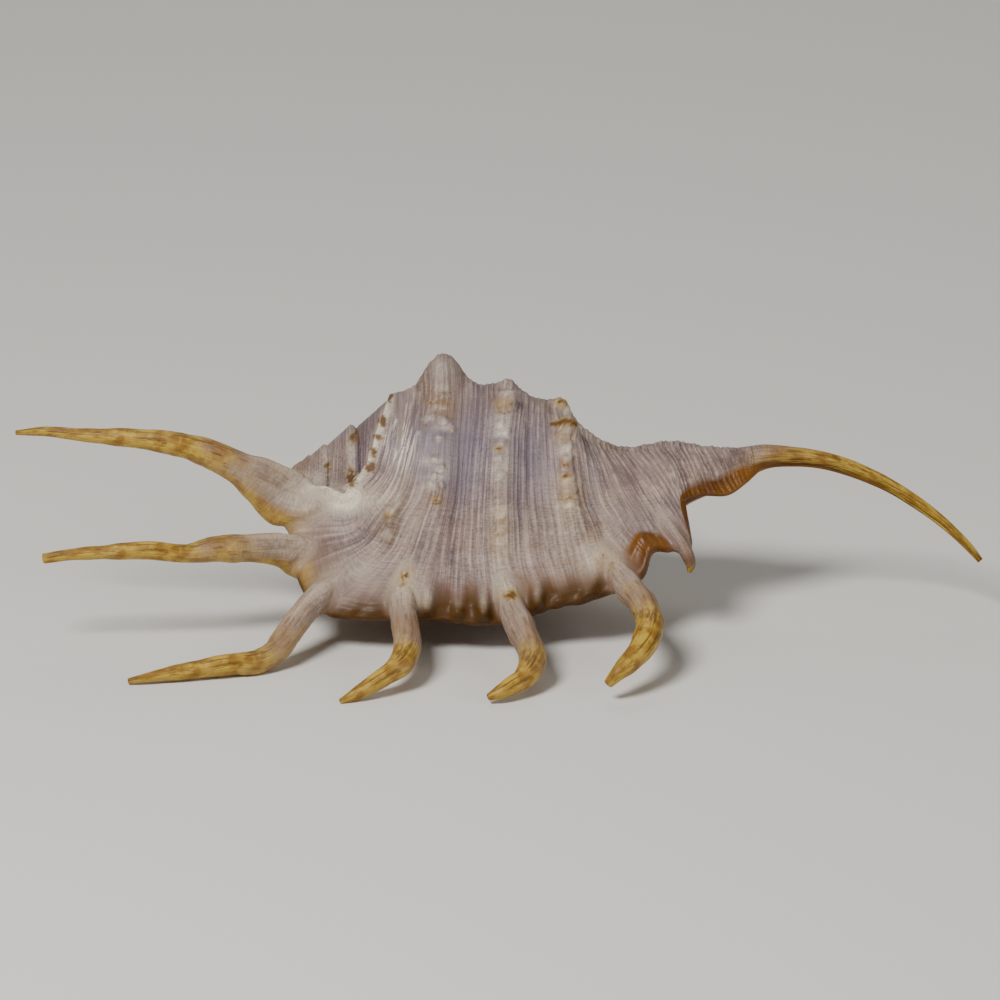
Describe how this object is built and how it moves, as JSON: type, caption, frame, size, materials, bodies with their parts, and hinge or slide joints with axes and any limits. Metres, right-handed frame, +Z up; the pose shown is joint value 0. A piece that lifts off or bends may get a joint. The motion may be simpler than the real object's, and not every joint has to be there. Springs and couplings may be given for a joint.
{
  "type": "orange spider conch shell",
  "caption": "Empty spider conch shell with a stepped spire, knobbed back, flared lip with curved digits and a long curved canal; rests on its belly and digit tips.",
  "frame": {"origin": "middle of the bounding box in plan, on the surface that the shell rests on", "axes": "+X along the shell's axis from the spire to the siphonal canal, -Y towards the outer lip and its digits, +Z up through the knobbed back"},
  "size_m": [0.16, 0.0722, 0.0407],
  "materials": {
    "shell_surface": "fine ribbed shell, satin, greyish lilac to cream with ochre digits and an orange glaze inside"
  },
  "bodies": {
    "root": {"shell": "shell_surface"}
  },
  "joints": []
}
